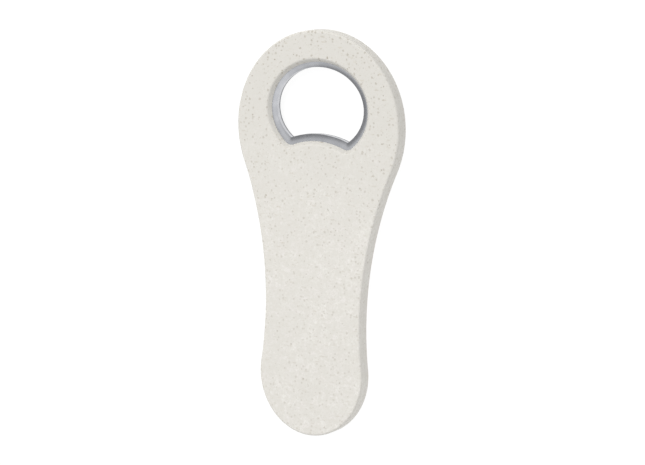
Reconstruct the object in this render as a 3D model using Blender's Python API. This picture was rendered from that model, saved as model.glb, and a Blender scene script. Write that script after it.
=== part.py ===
"""Flat promotional bottle opener: two moulded half shells with a stamped steel plate clamped between them.

The opener lies on its back. +Z is up and out of the front face, +Y runs along the handle toward the head, and the origin
is at the middle of the back face. Lengths are in metres.
"""

import math

import bmesh
import bpy
from mathutils import Vector

MM = 0.001

# body
LENGTH = 120.0 * MM
THICKNESS = 5.0 * MM
HEAD_R = 26.6 * MM  # half width of the head
HEAD_RISE = 28.2 * MM  # from its widest line to its end, an oval
SHOULDER_R = 31.0 * MM  # sides of the head, below its widest line
NECK_R = 116.2 * MM  # hollow sides of the neck and waist
FOOT_R = 17.0 * MM  # half width of the foot
FOOT_DROP = 18.5 * MM  # from its widest line to its end, an oval
EDGE_R = 0.7 * MM  # rounding of the outer front and back edges
EDGE_STEPS = 3
GAP = 0.3 * MM  # clearance kept between pieces that touch

# cap opening in the body: an oval, closed below by an arch that follows the lip
BODY_HOLE_A = 15.75 * MM
BODY_HOLE_B = 14.1 * MM
BODY_HOLE_Y = 36.65 * MM
BODY_ARCH_TOP = 27.55 * MM
BODY_ARCH_R = 22.0 * MM
BODY_CORNER_R = 2.4 * MM  # where the oval meets the arch
BEVEL_W = 1.45 * MM  # width of the bevel round the opening, front and back
BEVEL_ANGLE = math.radians(52)  # its slope from the face
BEVEL_R = 0.9 * MM  # soft edge between bevel and face

# cap opening in the steel plate
STEEL_HOLE_A = 14.25 * MM
STEEL_HOLE_B = 12.15 * MM
STEEL_HOLE_Y = 37.05 * MM
LIP_TOP = 29.6 * MM
LIP_R = 26.0 * MM
LIP_CORNER_R = 0.3 * MM
STEEL_T = 2.4 * MM
ROLL_W = 1.6 * MM  # the front edge rolls over this width
ROLL_ANGLE = math.radians(29)  # and by this much, to meet the straight wall
STEEL_BACK_R = 0.25 * MM  # the back edge

# hidden part of the plate: a collar round the opening and a tang down the neck
COLLAR_A = 20.0 * MM
COLLAR_B = 18.6 * MM
COLLAR_Y = 37.0 * MM
TANG_HALF_W = 9.0 * MM
TANG_END_Y = 0.0 * MM
TANG_CORNER_R = 4.0 * MM

# locating pins, as (x, y); the first two pass through the tang
PIN_R = 1.9 * MM
TANG_PINS = ((0.0, 15.0 * MM), (0.0, 6.0 * MM))
HANDLE_PINS = ((0.0, -18.0 * MM), (0.0, -44.0 * MM))
PIN_END_Z = 1.0 * MM
PIN_CHAMFER = 0.3 * MM

PART_Z = THICKNESS / 2
STEEL_Z0 = PART_Z - STEEL_T / 2
STEEL_Z1 = PART_Z + STEEL_T / 2

BODY_COLOUR = (0.745, 0.725, 0.680, 1.0)
STEEL_COLOUR = (0.56, 0.57, 0.59, 1.0)


def clear_scene():
    for item in list(bpy.data.objects):
        bpy.data.objects.remove(item, do_unlink=True)


def material(name, colour, roughness, metallic):
    made = bpy.data.materials.new(name)
    made.use_nodes = True
    shader = made.node_tree.nodes["Principled BSDF"]
    shader.inputs["Base Color"].default_value = colour
    shader.inputs["Roughness"].default_value = roughness
    shader.inputs["Metallic"].default_value = metallic
    return made


def arc(cx, cy, r, a0, a1, n):
    """n points along an arc, its first end included and its last left out."""
    return [
        (cx + r * math.cos(a0 + (a1 - a0) * i / n), cy + r * math.sin(a0 + (a1 - a0) * i / n))
        for i in range(n)
    ]


def oval(cy, a, b, a0, a1, n):
    """n points along an oval centred on x = 0, its first end included and its last left out."""
    return [(a * math.cos(a0 + (a1 - a0) * i / n), cy + b * math.sin(a0 + (a1 - a0) * i / n)) for i in range(n)]


def mirrored_loop(half):
    """A closed loop from its right half, which runs from a point on x = 0 to the other one."""
    return half + [(-x, y) for x, y in reversed(half[1:-1])]


def paddle(inset=0.0):
    """The body's outline: oval head and foot joined by tangent arcs. An inset keeps every centre."""
    head_y = LENGTH / 2 - HEAD_RISE
    foot_y = -LENGTH / 2 + FOOT_DROP
    shoulder = Vector((HEAD_R - SHOULDER_R, head_y))
    foot = Vector((0.0, foot_y))
    # the neck's centre lies SHOULDER_R + NECK_R from the shoulder's and FOOT_R + NECK_R from the foot's
    far_s, far_f = SHOULDER_R + NECK_R, FOOT_R + NECK_R
    between = foot - shoulder
    d = between.length
    along = (far_s**2 - far_f**2 + d**2) / (2 * d)
    across = math.sqrt(far_s**2 - along**2)
    unit = between / d
    neck = shoulder + unit * along + Vector((-unit.y, unit.x)) * across
    a_s = math.atan2(neck.y - shoulder.y, neck.x - shoulder.x)
    a_f = math.atan2(neck.y - foot.y, neck.x - foot.x)
    half = oval(head_y, HEAD_R - inset, HEAD_RISE - inset, math.pi / 2, 0.0, 16)
    half += arc(shoulder.x, shoulder.y, SHOULDER_R - inset, 0.0, a_s, 5)
    half += arc(neck.x, neck.y, NECK_R + inset, a_s + math.pi, a_f + math.pi, 12)
    half += arc(foot.x, foot.y, FOOT_R - inset, a_f, 0.0, 3)
    half += oval(foot.y, FOOT_R - inset, FOOT_DROP - inset, 0.0, -math.pi / 2, 13)
    half.append((0.0, -LENGTH / 2 + inset))
    return mirrored_loop(half)


def opening(a, b, cy, arch_top, arch_r, corner_r, grow=0.0, n_oval=28, n_corner=4, n_arch=9):
    """An oval closed below by an arch that bulges up into it, its two corners rounded, grown outward by grow."""
    a, b, r, rc = a + grow, b + grow, arch_r - grow, corner_r + grow
    arch_y = arch_top - arch_r

    def corner_centre(t):
        """The centre of a circle of radius rc that touches the oval from inside at t."""
        nx, ny = b * math.cos(t), a * math.sin(t)
        size = math.hypot(nx, ny)
        return a * math.cos(t) - rc * nx / size, cy + b * math.sin(t) - rc * ny / size

    lo, hi = -math.pi / 2 + 0.2, 0.0  # the corner's circle also touches the arch from above
    for _ in range(60):
        mid = (lo + hi) / 2
        x, y = corner_centre(mid)
        if math.hypot(x, y - arch_y) < r + rc:
            lo = mid
        else:
            hi = mid
    x, y = corner_centre(hi)
    half = []
    for i in range(n_oval):
        t = math.pi / 2 + (hi - math.pi / 2) * i / n_oval
        half.append((a * math.cos(t), cy + b * math.sin(t)))
    half += arc(x, y, rc, math.atan2(a * math.sin(hi), b * math.cos(hi)), math.atan2(arch_y - y, -x), n_corner)
    joint = math.atan2(y - arch_y, x)
    for i in range(n_arch + 1):
        t = joint + (math.pi / 2 - joint) * i / n_arch
        half.append((r * math.cos(t) if i < n_arch else 0.0, arch_y + r * math.sin(t)))
    return mirrored_loop(half)


def body_opening(grow=0.0):
    return opening(BODY_HOLE_A, BODY_HOLE_B, BODY_HOLE_Y, BODY_ARCH_TOP, BODY_ARCH_R, BODY_CORNER_R, grow)


def steel_opening(grow=0.0):
    return opening(STEEL_HOLE_A, STEEL_HOLE_B, STEEL_HOLE_Y, LIP_TOP, LIP_R, LIP_CORNER_R, grow)


def plate_outline(grow=0.0):
    """The collar's oval running into the tang, which has rounded corners."""
    a, b, w = COLLAR_A + grow, COLLAR_B + grow, TANG_HALF_W + grow
    join = -math.acos(w / a)
    r = TANG_CORNER_R + grow
    end = TANG_END_Y - grow
    half = [
        (a * math.cos(math.pi / 2 + (join - math.pi / 2) * i / 32), COLLAR_Y + b * math.sin(math.pi / 2 + (join - math.pi / 2) * i / 32))
        for i in range(33)
    ]
    half += arc(w - r, end + r, r, 0.0, -math.pi / 2, 6)
    half += [(w - r, end), (0.0, end)]
    return mirrored_loop(half)


def loft(name, levels):
    """A closed solid through stacked loops of equal count, given from the bottom up as (z, loop)."""
    bm = bmesh.new()
    rings = [[bm.verts.new((x, y, z)) for x, y in loop] for z, loop in levels]
    for low, high in zip(rings, rings[1:]):
        n = len(low)
        for i in range(n):
            bm.faces.new((low[i], low[(i + 1) % n], high[(i + 1) % n], high[i]))
    bm.faces.new(rings[0])
    bm.faces.new(rings[-1])
    bmesh.ops.recalc_face_normals(bm, faces=bm.faces)
    mesh = bpy.data.meshes.new(name)
    bm.to_mesh(mesh)
    bm.free()
    made = bpy.data.objects.new(name, mesh)
    bpy.context.scene.collection.objects.link(made)
    return made


def circle(cx, cy, r, n=20):
    return arc(cx, cy, r, 0.0, 2 * math.pi, n)


def rounded_levels(make, z0, z1, r0, r1, sign):
    """Levels of make from z0 to z1, its ends rounded by r0 and r1; sign is 1 where an end draws in and -1 where it flares."""
    levels = []
    if r0 > 0:
        for i in range(EDGE_STEPS + 1):
            t = math.pi / 2 * i / EDGE_STEPS
            levels.append((z0 + r0 * (1 - math.cos(t)), make(sign * r0 * (1 - math.sin(t)))))
    else:
        levels.append((z0, make(0.0)))
    if r1 > 0:
        for i in range(EDGE_STEPS + 1):
            t = math.pi / 2 * (1 - i / EDGE_STEPS)
            levels.append((z1 - r1 * (1 - math.cos(t)), make(sign * r1 * (1 - math.sin(t)))))
    else:
        levels.append((z1, make(0.0)))
    return levels


def guide(made):
    made.hide_render = True
    made.display_type = "WIRE"
    return made


def boolean(target, other, operation):
    step = target.modifiers.new(operation.title(), "BOOLEAN")
    step.operation = operation
    step.solver = "EXACT"
    step.object = guide(other)


def shade(made):
    made.data.shade_smooth()
    made.data.set_sharp_from_angle(angle=math.radians(35))


def bevelled_cutter(name, make, inner_z, face_z, past):
    """A straight cutter from inner_z that leaves a bevel, softly rounded into the face, at face_z."""
    out = 1 if face_z > inner_z else -1
    depth = BEVEL_R * (1 - math.cos(BEVEL_ANGLE)) + (BEVEL_W - BEVEL_R * math.sin(BEVEL_ANGLE)) * math.tan(BEVEL_ANGLE)
    levels = [(inner_z - out * past, make(0.0)), (face_z - out * depth, make(0.0))]
    for i in range(EDGE_STEPS + 1):
        t = BEVEL_ANGLE * (1 - i / EDGE_STEPS)
        levels.append((face_z - out * BEVEL_R * (1 - math.cos(t)), make(BEVEL_W - BEVEL_R * math.sin(t))))
    levels.append((face_z + out * past, make(BEVEL_W)))
    return loft(name, levels[::out])


def rolled_cutter(name, make, z0, z1, past):
    """A cutter that leaves a small quarter round at z0 and, at z1, a soft shoulder rolling over by ROLL_ANGLE to the wall."""
    levels = [(z0 - past, make(STEEL_BACK_R))]
    for i in range(EDGE_STEPS + 1):
        t = math.pi / 2 * i / EDGE_STEPS
        levels.append((z0 + STEEL_BACK_R * (1 - math.cos(t)), make(STEEL_BACK_R * (1 - math.sin(t)))))
    r = ROLL_W / math.sin(ROLL_ANGLE)
    for i in range(EDGE_STEPS + 1):
        t = ROLL_ANGLE * (1 - i / EDGE_STEPS)
        levels.append((z1 - r * (1 - math.cos(t)), make(ROLL_W - r * math.sin(t))))
    levels.append((z1 + past, make(ROLL_W)))
    return loft(name, levels)


def build_front_shell(look):
    z0 = PART_Z + GAP / 2
    shell = loft("front_shell", rounded_levels(paddle, z0, THICKNESS, 0.0, EDGE_R, 1))
    boolean(shell, bevelled_cutter("cut_front_opening", body_opening, z0, THICKNESS, 1 * MM), "DIFFERENCE")
    pocket = loft("cut_front_pocket", [(z0 - 1 * MM, plate_outline(GAP)), (STEEL_Z1 + GAP, plate_outline(GAP))])
    boolean(shell, pocket, "DIFFERENCE")
    for i, (x, y) in enumerate(TANG_PINS + HANDLE_PINS):
        root = STEEL_Z1 + GAP + 0.4 * MM if i < len(TANG_PINS) else z0 + 0.4 * MM
        pin = loft(
            f"add_pin_{i + 1}",
            [
                (PIN_END_Z, circle(x, y, PIN_R - PIN_CHAMFER)),
                (PIN_END_Z + PIN_CHAMFER, circle(x, y, PIN_R)),
                (root, circle(x, y, PIN_R)),
            ],
        )
        boolean(shell, pin, "UNION")
    shell.data.materials.append(look)
    shade(shell)
    return shell


def build_back_shell(look):
    z1 = PART_Z - GAP / 2
    shell = loft("back_shell", rounded_levels(paddle, 0.0, z1, EDGE_R, 0.0, 1))
    boolean(shell, bevelled_cutter("cut_back_opening", body_opening, z1, 0.0, 1 * MM), "DIFFERENCE")
    pocket = loft("cut_back_pocket", [(STEEL_Z0 - GAP, plate_outline(GAP)), (z1 + 1 * MM, plate_outline(GAP))])
    boolean(shell, pocket, "DIFFERENCE")
    for i, (x, y) in enumerate(TANG_PINS + HANDLE_PINS):
        socket = loft(
            f"cut_socket_{i + 1}",
            [(PIN_END_Z - GAP, circle(x, y, PIN_R + GAP)), (z1 + 1 * MM, circle(x, y, PIN_R + GAP))],
        )
        boolean(shell, socket, "DIFFERENCE")
    shell.data.materials.append(look)
    shade(shell)
    return shell


def build_steel_insert(look):
    plate = loft("steel_insert", [(STEEL_Z0, plate_outline()), (STEEL_Z1, plate_outline())])
    boolean(plate, rolled_cutter("cut_steel_opening", steel_opening, STEEL_Z0, STEEL_Z1, 1 * MM), "DIFFERENCE")
    for i, (x, y) in enumerate(TANG_PINS):
        hole = loft(
            f"cut_tang_hole_{i + 1}",
            [(STEEL_Z0 - 1 * MM, circle(x, y, PIN_R + GAP)), (STEEL_Z1 + 1 * MM, circle(x, y, PIN_R + GAP))],
        )
        boolean(plate, hole, "DIFFERENCE")
    plate.data.materials.append(look)
    shade(plate)
    return plate


clear_scene()
build_front_shell(material("front_plastic", BODY_COLOUR, 0.6, 0.0))
build_back_shell(material("back_plastic", BODY_COLOUR, 0.6, 0.0))
build_steel_insert(material("steel", STEEL_COLOUR, 0.3, 1.0))
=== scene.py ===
import math

import bmesh
import bpy
from mathutils import Matrix, Vector


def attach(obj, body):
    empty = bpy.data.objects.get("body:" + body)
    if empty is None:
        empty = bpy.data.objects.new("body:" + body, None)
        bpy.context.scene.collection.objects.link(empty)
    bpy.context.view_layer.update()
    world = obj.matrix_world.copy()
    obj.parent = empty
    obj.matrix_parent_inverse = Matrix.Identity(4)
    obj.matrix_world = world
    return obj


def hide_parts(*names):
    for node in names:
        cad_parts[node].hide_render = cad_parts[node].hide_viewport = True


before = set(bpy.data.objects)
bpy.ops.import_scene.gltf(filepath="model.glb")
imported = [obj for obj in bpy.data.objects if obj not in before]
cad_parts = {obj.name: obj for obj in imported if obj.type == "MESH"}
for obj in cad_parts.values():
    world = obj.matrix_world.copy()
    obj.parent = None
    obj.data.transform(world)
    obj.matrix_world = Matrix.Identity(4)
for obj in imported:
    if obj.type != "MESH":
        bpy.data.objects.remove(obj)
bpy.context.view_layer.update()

MM = 0.001

# ------------------------------------------------------------------ sizes, as the CAD has them
LENGTH = 120.0 * MM
THICKNESS = 5.0 * MM
HEAD_R = 26.6 * MM
HEAD_RISE = 28.2 * MM
SHOULDER_R = 31.0 * MM
NECK_R = 116.2 * MM
FOOT_R = 17.0 * MM
FOOT_DROP = 18.5 * MM
EDGE_R = 0.7 * MM
EDGE_STEPS = 8
SEAM = 0.03 * MM
SEAM_R = 0.05 * MM
FIT = 0.04 * MM

BODY_HOLE = (15.75 * MM, 14.1 * MM, 36.65 * MM, 27.55 * MM, 22.0 * MM, 2.4 * MM)
STEEL_HOLE = (14.25 * MM, 12.15 * MM, 37.05 * MM, 29.6 * MM, 26.0 * MM, 0.3 * MM)
BEVEL_W = 1.45 * MM
BEVEL_ANGLE = math.radians(52)
BEVEL_R = 0.9 * MM
STEEL_T = 2.4 * MM
STEEL_ROLL_W = 1.6 * MM
STEEL_ROLL_ANGLE = math.radians(29)
STEEL_BACK_R = 0.25 * MM
COLLAR = (20.0 * MM, 18.6 * MM, 37.0 * MM)
TANG_HALF_W = 9.0 * MM
TANG_CORNER_R = 4.0 * MM
PINS = ((0.0, 15.0 * MM), (0.0, 6.0 * MM), (0.0, -18.0 * MM), (0.0, -44.0 * MM))
PIN_R = 1.9 * MM
PIN_END_Z = 1.0 * MM

MID_Z = THICKNESS / 2
STEEL_Z0 = MID_Z - STEEL_T / 2
STEEL_Z1 = MID_Z + STEEL_T / 2


# ------------------------------------------------------------------ outlines
def arc(cx, cy, r, a0, a1, n):
    return [(cx + r * math.cos(a0 + (a1 - a0) * i / n), cy + r * math.sin(a0 + (a1 - a0) * i / n)) for i in range(n)]


def oval(cy, a, b, a0, a1, n):
    return [(a * math.cos(a0 + (a1 - a0) * i / n), cy + b * math.sin(a0 + (a1 - a0) * i / n)) for i in range(n)]


def mirrored_loop(half):
    return half + [(-x, y) for x, y in reversed(half[1:-1])]


def paddle(inset=0.0):
    """The body's outline: oval ends joined by tangent arcs, which keep their centres when it draws in."""
    head_y = LENGTH / 2 - HEAD_RISE
    shoulder = Vector((HEAD_R - SHOULDER_R, head_y))
    foot = Vector((0.0, -LENGTH / 2 + FOOT_DROP))
    far_s, far_f = SHOULDER_R + NECK_R, FOOT_R + NECK_R
    between = foot - shoulder
    d = between.length
    along = (far_s**2 - far_f**2 + d**2) / (2 * d)
    unit = between / d
    neck = shoulder + unit * along + Vector((-unit.y, unit.x)) * math.sqrt(far_s**2 - along**2)
    a_s = math.atan2(neck.y - shoulder.y, neck.x - shoulder.x)
    a_f = math.atan2(neck.y - foot.y, neck.x - foot.x)
    half = oval(head_y, HEAD_R - inset, HEAD_RISE - inset, math.pi / 2, 0.0, 72)
    half += arc(shoulder.x, shoulder.y, SHOULDER_R - inset, 0.0, a_s, 22)
    half += arc(neck.x, neck.y, NECK_R + inset, a_s + math.pi, a_f + math.pi, 56)
    half += arc(foot.x, foot.y, FOOT_R - inset, a_f, 0.0, 8)
    half += oval(foot.y, FOOT_R - inset, FOOT_DROP - inset, 0.0, -math.pi / 2, 52)
    half.append((0.0, -LENGTH / 2 + inset))
    return mirrored_loop(half)


def opening(shape, grow=0.0, n_oval=110, n_corner=16, n_arch=36):
    """An oval closed below by an arch that bulges up into it, its two corners rounded, grown outward by grow."""
    a, b, cy, arch_top, arch_r, corner_r = shape
    a, b, r, rc = a + grow, b + grow, arch_r - grow, corner_r + grow
    arch_y = arch_top - arch_r

    def corner_centre(t):
        """The centre of a circle of radius rc that touches the oval from inside at t."""
        nx, ny = b * math.cos(t), a * math.sin(t)
        size = math.hypot(nx, ny)
        return a * math.cos(t) - rc * nx / size, cy + b * math.sin(t) - rc * ny / size

    lo, hi = -math.pi / 2 + 0.2, 0.0  # the corner's circle also touches the arch from above
    for _ in range(60):
        t = (lo + hi) / 2
        x, y = corner_centre(t)
        if math.hypot(x, y - arch_y) < r + rc:
            lo = t
        else:
            hi = t
    x, y = corner_centre(hi)
    half = []
    for i in range(n_oval):
        t = math.pi / 2 + (hi - math.pi / 2) * i / n_oval
        half.append((a * math.cos(t), cy + b * math.sin(t)))
    start = math.atan2(a * math.sin(hi), b * math.cos(hi))
    end = math.atan2(arch_y - y, -x)
    half += arc(x, y, rc, start, end, n_corner)
    joint = math.atan2(y - arch_y, x)
    for i in range(n_arch + 1):
        t = joint + (math.pi / 2 - joint) * i / n_arch
        half.append((r * math.cos(t) if i < n_arch else 0.0, arch_y + r * math.sin(t)))
    return mirrored_loop(half)


def plate_outline(grow=0.0):
    a, b, w = COLLAR[0] + grow, COLLAR[1] + grow, TANG_HALF_W + grow
    join = -math.acos(w / a)
    r, end = TANG_CORNER_R + grow, -grow
    half = []
    for i in range(81):
        t = math.pi / 2 + (join - math.pi / 2) * i / 80
        half.append((a * math.cos(t), COLLAR[2] + b * math.sin(t)))
    half += arc(w - r, end + r, r, 0.0, -math.pi / 2, 12)
    half += [(w - r, end), (0.0, end)]
    return mirrored_loop(half)


def circle(cx, cy, r, n=48):
    return arc(cx, cy, r, 0.0, 2 * math.pi, n)


# ------------------------------------------------------------------ solids
def loft(name, levels):
    """A closed solid through stacked loops of equal count, given from the bottom up as (z, loop)."""
    bm = bmesh.new()
    rings = [[bm.verts.new((x, y, z)) for x, y in loop] for z, loop in levels]
    for low, high in zip(rings, rings[1:]):
        n = len(low)
        for i in range(n):
            bm.faces.new((low[i], low[(i + 1) % n], high[(i + 1) % n], high[i]))
    bm.faces.new(rings[0])
    bm.faces.new(rings[-1])
    bmesh.ops.recalc_face_normals(bm, faces=bm.faces)
    mesh = bpy.data.meshes.new(name)
    bm.to_mesh(mesh)
    bm.free()
    made = bpy.data.objects.new(name, mesh)
    bpy.context.scene.collection.objects.link(made)
    return made


def rounded(make, z0, z1, r0, r1, sign, steps=EDGE_STEPS):
    """Levels of make from z0 to z1, the ends rounded by r0 and r1: drawn in for sign 1, flared for sign -1."""
    levels = []
    for i in range(steps + 1):
        t = math.pi / 2 * i / steps
        levels.append((z0 + r0 * (1 - math.cos(t)), make(sign * r0 * (1 - math.sin(t)))))
    for i in range(steps + 1):
        t = math.pi / 2 * (1 - i / steps)
        levels.append((z1 - r1 * (1 - math.cos(t)), make(sign * r1 * (1 - math.sin(t)))))
    return levels


def rolled_cutter(name, make, z0, z1, past=1 * MM, steps=8):
    """A cutter with a small quarter round at z0 and, at z1, a soft shoulder that rolls over by STEEL_ROLL_ANGLE to meet the wall."""
    levels = [(z0 - past, make(STEEL_BACK_R))]
    for i in range(steps + 1):
        t = math.pi / 2 * i / steps
        levels.append((z0 + STEEL_BACK_R * (1 - math.cos(t)), make(STEEL_BACK_R * (1 - math.sin(t)))))
    r = STEEL_ROLL_W / math.sin(STEEL_ROLL_ANGLE)
    for i in range(steps + 1):
        t = STEEL_ROLL_ANGLE * (1 - i / steps)
        levels.append((z1 - r * (1 - math.cos(t)), make(STEEL_ROLL_W - r * math.sin(t))))
    levels.append((z1 + past, make(STEEL_ROLL_W)))
    return loft(name, levels)


def bevelled_cutter(name, make, inner_z, face_z, past=1 * MM, steps=8):
    """A straight cutter from inner_z that leaves a bevel, softly rounded into the face, at face_z."""
    out = 1 if face_z > inner_z else -1
    depth = BEVEL_R * (1 - math.cos(BEVEL_ANGLE)) + (BEVEL_W - BEVEL_R * math.sin(BEVEL_ANGLE)) * math.tan(BEVEL_ANGLE)
    levels = [(inner_z - out * past, make(0.0)), (face_z - out * depth, make(0.0))]
    for i in range(steps + 1):
        t = BEVEL_ANGLE * (1 - i / steps)
        levels.append((face_z - out * BEVEL_R * (1 - math.cos(t)), make(BEVEL_W - BEVEL_R * math.sin(t))))
    levels.append((face_z + out * past, make(BEVEL_W)))
    return loft(name, levels[::out])


def carve(target, steps):
    """Applies Boolean steps, given as (operation, other), and removes the others."""
    for operation, other in steps:
        step = target.modifiers.new(operation, "BOOLEAN")
        step.operation = operation
        step.solver = "EXACT"
        step.object = other
    bpy.context.view_layer.update()
    mesh = bpy.data.meshes.new_from_object(target.evaluated_get(bpy.context.evaluated_depsgraph_get()))
    target.modifiers.clear()
    old = target.data
    target.data = mesh
    bpy.data.meshes.remove(old)
    for _, other in steps:
        data = other.data
        bpy.data.objects.remove(other)
        bpy.data.meshes.remove(data)


def smooth(target, angle=30):
    """Smooth shading that keeps the large flat faces flat up to their rounded edges."""
    target.data.shade_smooth()
    target.data.set_sharp_from_angle(angle=math.radians(angle))
    step = target.modifiers.new("normals", "WEIGHTED_NORMAL")
    step.keep_sharp = True
    step.weight = 100
    step.mode = "FACE_AREA"
    return target


# ------------------------------------------------------------------ material helpers
class Graph:
    def __init__(self, name):
        self.material = bpy.data.materials.new(name)
        self.material.use_nodes = True
        self.tree = self.material.node_tree
        self.shader = self.tree.nodes["Principled BSDF"]
        coords = self.tree.nodes.new("ShaderNodeTexCoord")
        self.mm = self.vector("SCALE", coords.outputs["Object"], scale=1000.0)

    def link(self, source, socket):
        self.tree.links.new(source, socket)

    def put(self, socket, value):
        if isinstance(value, bpy.types.NodeSocket):
            self.link(value, socket)
        elif value is not None:
            socket.default_value = value

    def vector(self, operation, a, b=None, scale=None):
        node = self.tree.nodes.new("ShaderNodeVectorMath")
        node.operation = operation
        self.put(node.inputs[0], a)
        self.put(node.inputs[1], b)
        if scale is not None:
            node.inputs["Scale"].default_value = scale
        return node.outputs[0]

    def mapped(self, source, rotation=(0, 0, 0), scale=(1, 1, 1), location=(0, 0, 0)):
        node = self.tree.nodes.new("ShaderNodeMapping")
        node.inputs["Location"].default_value = location
        node.inputs["Rotation"].default_value = rotation
        node.inputs["Scale"].default_value = scale
        self.link(source, node.inputs["Vector"])
        return node.outputs[0]

    def noise(self, source, scale, detail=2.0, roughness=0.5):
        node = self.tree.nodes.new("ShaderNodeTexNoise")
        self.link(source, node.inputs["Vector"])
        node.inputs["Scale"].default_value = scale
        node.inputs["Detail"].default_value = detail
        node.inputs["Roughness"].default_value = roughness
        return node.outputs["Fac"]

    def noise_colour(self, source, scale, detail=1.0):
        node = self.tree.nodes.new("ShaderNodeTexNoise")
        self.link(source, node.inputs["Vector"])
        node.inputs["Scale"].default_value = scale
        node.inputs["Detail"].default_value = detail
        return node.outputs["Color"]

    def voronoi(self, source, scale):
        node = self.tree.nodes.new("ShaderNodeTexVoronoi")
        self.link(source, node.inputs["Vector"])
        node.inputs["Scale"].default_value = scale
        return node.outputs["Distance"], node.outputs["Color"]

    def math(self, operation, a, b=None, c=None):
        node = self.tree.nodes.new("ShaderNodeMath")
        node.operation = operation
        for socket, value in zip(node.inputs, (a, b, c)):
            self.put(socket, value)
        return node.outputs[0]

    def ramp(self, value, low, high, out_low=0.0, out_high=1.0):
        node = self.tree.nodes.new("ShaderNodeMapRange")
        node.interpolation_type = "SMOOTHSTEP"
        self.put(node.inputs["Value"], value)
        for name, number in (("From Min", low), ("From Max", high), ("To Min", out_low), ("To Max", out_high)):
            self.put(node.inputs[name], number)
        return node.outputs["Result"]

    def split(self, colour):
        node = self.tree.nodes.new("ShaderNodeSeparateColor")
        self.link(colour, node.inputs[0])
        return node.outputs

    def mix(self, factor, a, b):
        node = self.tree.nodes.new("ShaderNodeMix")
        node.data_type = "RGBA"
        self.put(node.inputs[0], factor)
        self.put(node.inputs[6], a)
        self.put(node.inputs[7], b)
        return node.outputs[2]

    def bump(self, height, strength, distance, normal=None):
        node = self.tree.nodes.new("ShaderNodeBump")
        node.inputs["Strength"].default_value = strength
        node.inputs["Distance"].default_value = distance
        self.put(node.inputs["Height"], height)
        self.put(node.inputs["Normal"], normal)
        return node.outputs[0]


def flecks(g, source, scale, size_low, size_high, keep, soft=0.06):
    """Specks, one at most in each cell: a mask, with the size and the presence set by the cell."""
    distance, colour = g.voronoi(source, scale)
    cell = g.split(colour)
    radius = g.ramp(cell[0], 0.0, 1.0, size_low, size_high)
    inside = g.ramp(g.math("SUBTRACT", distance, radius), -soft, soft, 1.0, 0.0)
    present = g.math("LESS_THAN", cell[1], keep)
    return g.math("MULTIPLY", inside, present), cell[2]


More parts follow.
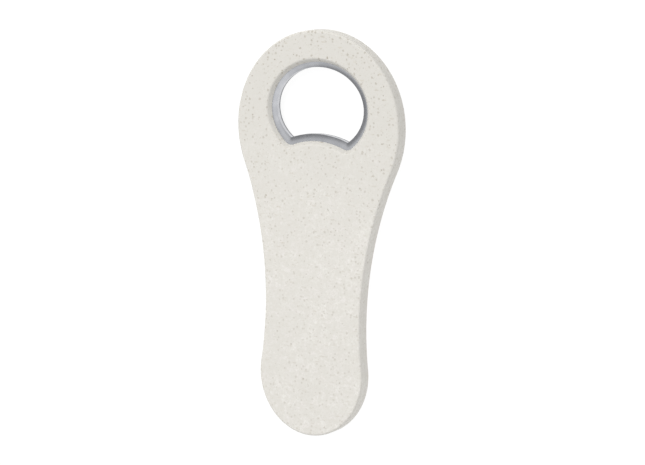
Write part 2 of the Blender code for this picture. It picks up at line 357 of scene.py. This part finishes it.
def straw_plastic(name):
    """Off-white moulded plastic filled with ground straw: fine tan, brown and grey flecks through a cream base."""
    g = Graph(name)
    wobble = g.vector("SCALE", g.vector("SUBTRACT", g.noise_colour(g.mm, 1.6), (0.5, 0.5, 0.5)), scale=0.5)
    place = g.vector("ADD", g.mm, wobble)

    cloud = g.noise(g.mm, 0.12, 3.0, 0.55)
    mottle = g.noise(place, 0.50, 2.0, 0.55)
    grain = g.noise(g.mapped(place, location=(31.0, 7.0, 3.0)), 1.05, 2.0, 0.5)
    fine = g.noise(place, 1.9, 2.0, 0.5)
    base = g.mix(g.ramp(cloud, 0.35, 0.65), (0.738, 0.717, 0.674, 1), (0.798, 0.778, 0.734, 1))
    # faintly pinker patches
    base = g.mix(g.ramp(g.noise(g.mapped(g.mm, location=(5.0, 2.0, 8.0)), 0.30, 1.0), 0.42, 0.62, 0.0, 0.55), base, (0.776, 0.740, 0.712, 1))
    shade = (0.690, 0.668, 0.616, 1)
    base = g.mix(g.ramp(mottle, 0.38, 0.64, 0.0, 0.52), base, shade)
    base = g.mix(g.ramp(grain, 0.34, 0.68, 0.0, 0.85), base, shade)
    base = g.mix(g.ramp(fine, 0.34, 0.68, 0.0, 0.80), base, shade)
    # the filler lies a little thicker toward the head; the base is also painted darker toward the head, a painted shade
    # for the light that falls off toward that end
    along = g.tree.nodes.new("ShaderNodeSeparateXYZ")
    g.link(g.mm, along.inputs[0])
    load = g.ramp(along.outputs[1], -45.0, 50.0, 0.80, 1.30)
    load = g.math("MULTIPLY", load, g.ramp(along.outputs[1], 25.0, 60.0, 1.0, 1.30))
    # painted shade: the base is painted darker toward the head, where less light falls on the face
    base = g.mix(g.ramp(along.outputs[1], -10.0, 50.0, 0.0, 0.75), base, (0.655, 0.636, 0.590, 1))

    dust, dust_tone = flecks(g, place, 1.7, 0.12, 0.34, 0.75, 0.14)
    dust_colour = g.mix(dust_tone, (0.56, 0.525, 0.455, 1), (0.63, 0.60, 0.54, 1))
    base = g.mix(g.math("MULTIPLY", dust, g.math("MULTIPLY", load, 0.36)), base, dust_colour)

    grains, grain_tone = flecks(g, place, 0.85, 0.12, 0.30, 0.8, 0.11)
    grain_colour = g.mix(grain_tone, (0.34, 0.30, 0.235, 1), (0.52, 0.48, 0.40, 1))
    base = g.mix(g.math("MULTIPLY", grains, g.math("MULTIPLY", load, 0.32)), base, grain_colour)

    fibre_sum = None
    for turn, seed in ((0.35, 3.1), (1.45, 17.7), (2.45, 41.3)):
        laid = g.mapped(place, rotation=(0.12, 0.08, turn), scale=(0.26, 0.9, 0.9), location=(seed, seed, seed))
        fibre, tone = flecks(g, laid, 0.85, 0.07, 0.18, 0.42, 0.06)
        colour = g.mix(tone, (0.44, 0.39, 0.31, 1), (0.60, 0.55, 0.46, 1))
        base = g.mix(g.math("MULTIPLY", fibre, g.math("MULTIPLY", load, 0.28)), base, colour)
        fibre_sum = fibre if fibre_sum is None else g.math("MAXIMUM", fibre_sum, fibre)

    dark, dark_tone = flecks(g, g.mapped(place, location=(9.0, 5.0, 2.0)), 0.42, 0.04, 0.12, 0.55, 0.035)
    dark_colour = g.mix(dark_tone, (0.16, 0.13, 0.09, 1), (0.30, 0.25, 0.18, 1))
    base = g.mix(g.math("MULTIPLY", dark, g.math("MULTIPLY", load, 0.42)), base, dark_colour)
    g.link(base, g.shader.inputs["Base Color"])

    marks = g.math("MAXIMUM", grains, fibre_sum)
    rough = g.math("ADD", g.ramp(g.noise(g.mm, 0.8, 3.0), 0.3, 0.7, 0.50, 0.58), g.math("MULTIPLY", marks, 0.06))
    g.link(rough, g.shader.inputs["Roughness"])
    g.shader.inputs["IOR"].default_value = 1.46
    g.shader.inputs["Specular IOR Level"].default_value = 0.4

    skin = g.bump(g.noise(g.mm, 3.4, 3.0, 0.6), 0.35, 0.00003)
    skin = g.bump(g.noise(g.mm, 0.35, 1.0), 0.25, 0.00008, skin)
    skin = g.bump(marks, 0.25, 0.00002, skin)
    g.link(skin, g.shader.inputs["Normal"])
    return g.material


def stamped_steel(name):
    """Plain stamped and tumbled steel: neutral, with soft mottling and fine scuffs, and a torn, rougher band low on the
    cut edge whose darkness is a painted dark reflection of the shaded floor beneath it.
    """
    g = Graph(name)
    g.shader.inputs["Metallic"].default_value = 1.0
    cloud = g.noise(g.mm, 0.35, 3.0, 0.6)
    base = g.mix(g.ramp(cloud, 0.3, 0.7), (0.52, 0.527, 0.55, 1), (0.60, 0.607, 0.63, 1))
    scuff = g.noise(g.mapped(g.mm, rotation=(0, 0, 0.6), scale=(0.5, 7.0, 5.0)), 1.3, 3.0, 0.6)
    base = g.mix(g.ramp(scuff, 0.55, 0.8, 0.0, 0.25), base, (0.42, 0.425, 0.44, 1))
    height = g.tree.nodes.new("ShaderNodeSeparateXYZ")
    g.link(g.mm, height.inputs[0])
    ragged = g.math("ADD", height.outputs[2], g.ramp(g.noise(g.mm, 0.7, 2.0), 0.3, 0.7, -0.08, 0.08))
    # painted reflection: the low band of the cut edge is painted near-black as a dark reflection; its raised roughness
    # is the torn edge's own
    torn_band_painted_dark = g.ramp(ragged, 1000 * STEEL_Z0 + 0.55, 1000 * STEEL_Z0 + 0.95, 1.0, 0.0)
    base = g.mix(g.math("MULTIPLY", torn_band_painted_dark, 0.8), base, (0.20, 0.20, 0.21, 1))
    g.link(base, g.shader.inputs["Base Color"])
    rough = g.math("ADD", g.ramp(g.noise(g.mm, 1.4, 4.0, 0.65), 0.3, 0.7, 0.20, 0.34), g.math("MULTIPLY", torn_band_painted_dark, 0.25))
    g.link(rough, g.shader.inputs["Roughness"])
    skin = g.bump(scuff, 0.12, 0.00002)
    skin = g.bump(g.noise(g.mm, 2.5, 3.0), 0.15, 0.00003, skin)
    g.link(skin, g.shader.inputs["Normal"])
    return g.material


# ------------------------------------------------------------------ the pieces
def body_hole(grow=0.0):
    return opening(BODY_HOLE, grow)


def steel_hole(grow=0.0):
    return opening(STEEL_HOLE, grow)


def dress(piece, material, node):
    piece.data.materials.clear()
    piece.data.materials.append(material)
    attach(piece, "root")
    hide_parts(node)


plastic = straw_plastic("straw_plastic")
steel = stamped_steel("stamped_steel")

z_front = MID_Z + SEAM / 2
front = loft("front_body_half", rounded(paddle, z_front, THICKNESS, SEAM_R, EDGE_R, 1))
cuts = [
    ("DIFFERENCE", bevelled_cutter("c1", body_hole, z_front, THICKNESS)),
    ("DIFFERENCE", loft("c2", [(z_front - MM, plate_outline(0.15 * MM)), (STEEL_Z1 + FIT, plate_outline(0.15 * MM))])),
]
for i, (x, y) in enumerate(PINS):
    root = STEEL_Z1 + FIT + 0.4 * MM if i < 2 else z_front + 0.4 * MM
    cuts.append(
        (
            "UNION",
            loft(
                f"p{i}",
                [(PIN_END_Z, circle(x, y, PIN_R - 0.3 * MM)), (PIN_END_Z + 0.3 * MM, circle(x, y, PIN_R)), (root, circle(x, y, PIN_R))],
            ),
        )
    )
carve(front, cuts)
dress(smooth(front), plastic, "front_shell")

z_back = MID_Z - SEAM / 2
back = loft("back_body_half", rounded(paddle, 0.0, z_back, EDGE_R, SEAM_R, 1))
cuts = [
    ("DIFFERENCE", bevelled_cutter("c3", body_hole, z_back, 0.0)),
    ("DIFFERENCE", loft("c4", [(STEEL_Z0 - FIT, plate_outline(0.15 * MM)), (z_back + MM, plate_outline(0.15 * MM))])),
]
for i, (x, y) in enumerate(PINS):
    cuts.append(("DIFFERENCE", loft(f"s{i}", [(PIN_END_Z - 0.2 * MM, circle(x, y, PIN_R + 0.15 * MM)), (z_back + MM, circle(x, y, PIN_R + 0.15 * MM))])))
carve(back, cuts)
dress(smooth(back), plastic, "back_shell")

insert = loft("steel_lip_plate", rounded(lambda d: plate_outline(-d), STEEL_Z0, STEEL_Z1, 0.15 * MM, 0.15 * MM, 1, 3))
cuts = [("DIFFERENCE", rolled_cutter("c5", steel_hole, STEEL_Z0, STEEL_Z1))]
for i, (x, y) in enumerate(PINS[:2]):
    cuts.append(("DIFFERENCE", loft(f"h{i}", [(STEEL_Z0 - MM, circle(x, y, PIN_R + 0.15 * MM)), (STEEL_Z1 + MM, circle(x, y, PIN_R + 0.15 * MM))])))
carve(insert, cuts)
dress(smooth(insert), steel, "steel_insert")


# ------------------------------------------------------------------ floor, light and camera
def floor_material():
    made = bpy.data.materials.new("pale_floor")
    made.use_nodes = True
    shader = made.node_tree.nodes["Principled BSDF"]
    shader.inputs["Base Color"].default_value = (0.15, 0.15, 0.15, 1)
    shader.inputs["Roughness"].default_value = 0.9
    shader.inputs["Specular IOR Level"].default_value = 0.1
    shader.inputs["Emission Color"].default_value = (1, 1, 1, 1)
    shader.inputs["Emission Strength"].default_value = 0.90
    return made


bm = bmesh.new()
bmesh.ops.create_grid(bm, x_segments=8, y_segments=8, size=2.5)
floor_mesh = bpy.data.meshes.new("floor")
bm.to_mesh(floor_mesh)
bm.free()
floor = bpy.data.objects.new("floor", floor_mesh)
bpy.context.scene.collection.objects.link(floor)
floor.location.z = -0.0002
floor.data.materials.append(floor_material())

scene = bpy.context.scene
scene.view_settings.view_transform = "Standard"


def studio_world(low, high, across, start, end):
    """Soft light that rises smoothly from low to high along the slanted axis `across`."""
    world = bpy.data.worlds.new("studio")
    scene.world = world
    world.use_nodes = True
    tree = world.node_tree
    background = tree.nodes["Background"]
    background.inputs["Color"].default_value = (0.985, 0.99, 1.0, 1)
    coords = tree.nodes.new("ShaderNodeTexCoord")
    slant = tree.nodes.new("ShaderNodeVectorMath")
    slant.operation = "DOT_PRODUCT"
    tree.links.new(coords.outputs["Generated"], slant.inputs[0])
    slant.inputs[1].default_value = across
    spread = tree.nodes.new("ShaderNodeMapRange")
    spread.interpolation_type = "SMOOTHSTEP"
    tree.links.new(slant.outputs["Value"], spread.inputs["Value"])
    spread.inputs["From Min"].default_value = start
    spread.inputs["From Max"].default_value = end
    spread.inputs["To Min"].default_value = low
    spread.inputs["To Max"].default_value = high
    tree.links.new(spread.outputs["Result"], background.inputs["Strength"])


studio_world(0.36, 1.02, (0.25, -0.30, 1.0), 0.45, 1.05)


def softbox(name, direction, distance, size_x, size_y, power):
    data = bpy.data.lights.new(name, "AREA")
    data.shape = "RECTANGLE"
    data.size, data.size_y = size_x, size_y
    data.energy = power
    lamp = bpy.data.objects.new(name, data)
    scene.collection.objects.link(lamp)
    lamp.location = Vector(direction).normalized() * distance
    lamp.rotation_euler = (-lamp.location).to_track_quat("-Z", "Y").to_euler()
    lamp.visible_glossy = False
    lamp.visible_camera = False
    return lamp


softbox("over_box", (-0.25, 0.60, 0.76), 2.2, 1.3, 1.3, 33.2)

YAW, PITCH, ROLL = math.radians(28.0), math.radians(9.6), math.radians(1.6)
DISTANCE, PX_PER_M = 0.9, 3425.0
ORIGIN = Vector((0, 0, THICKNESS))
toward = Vector((math.sin(YAW) * math.cos(PITCH), math.sin(PITCH), math.cos(YAW) * math.cos(PITCH)))
right0 = Vector((math.cos(YAW), 0, -math.sin(YAW)))
up0 = toward.cross(right0)
right = right0 * math.cos(ROLL) + up0 * math.sin(ROLL)
up = up0 * math.cos(ROLL) - right0 * math.sin(ROLL)
eye = ORIGIN + toward * DISTANCE + right * ((322.5 - 313.95) / PX_PER_M) + up * ((235.24 - 232.5) / PX_PER_M)
camera_data = bpy.data.cameras.new("camera")
camera_data.sensor_width = 36.0
camera_data.lens = PX_PER_M * DISTANCE / 645 * 36.0
camera_data.dof.use_dof = False
camera_data.clip_start = 0.01
camera = bpy.data.objects.new("camera", camera_data)
scene.collection.objects.link(camera)
camera.matrix_world = Matrix(
    (
        (right.x, up.x, toward.x, eye.x),
        (right.y, up.y, toward.y, eye.y),
        (right.z, up.z, toward.z, eye.z),
        (0, 0, 0, 1),
    )
)
scene.camera = camera
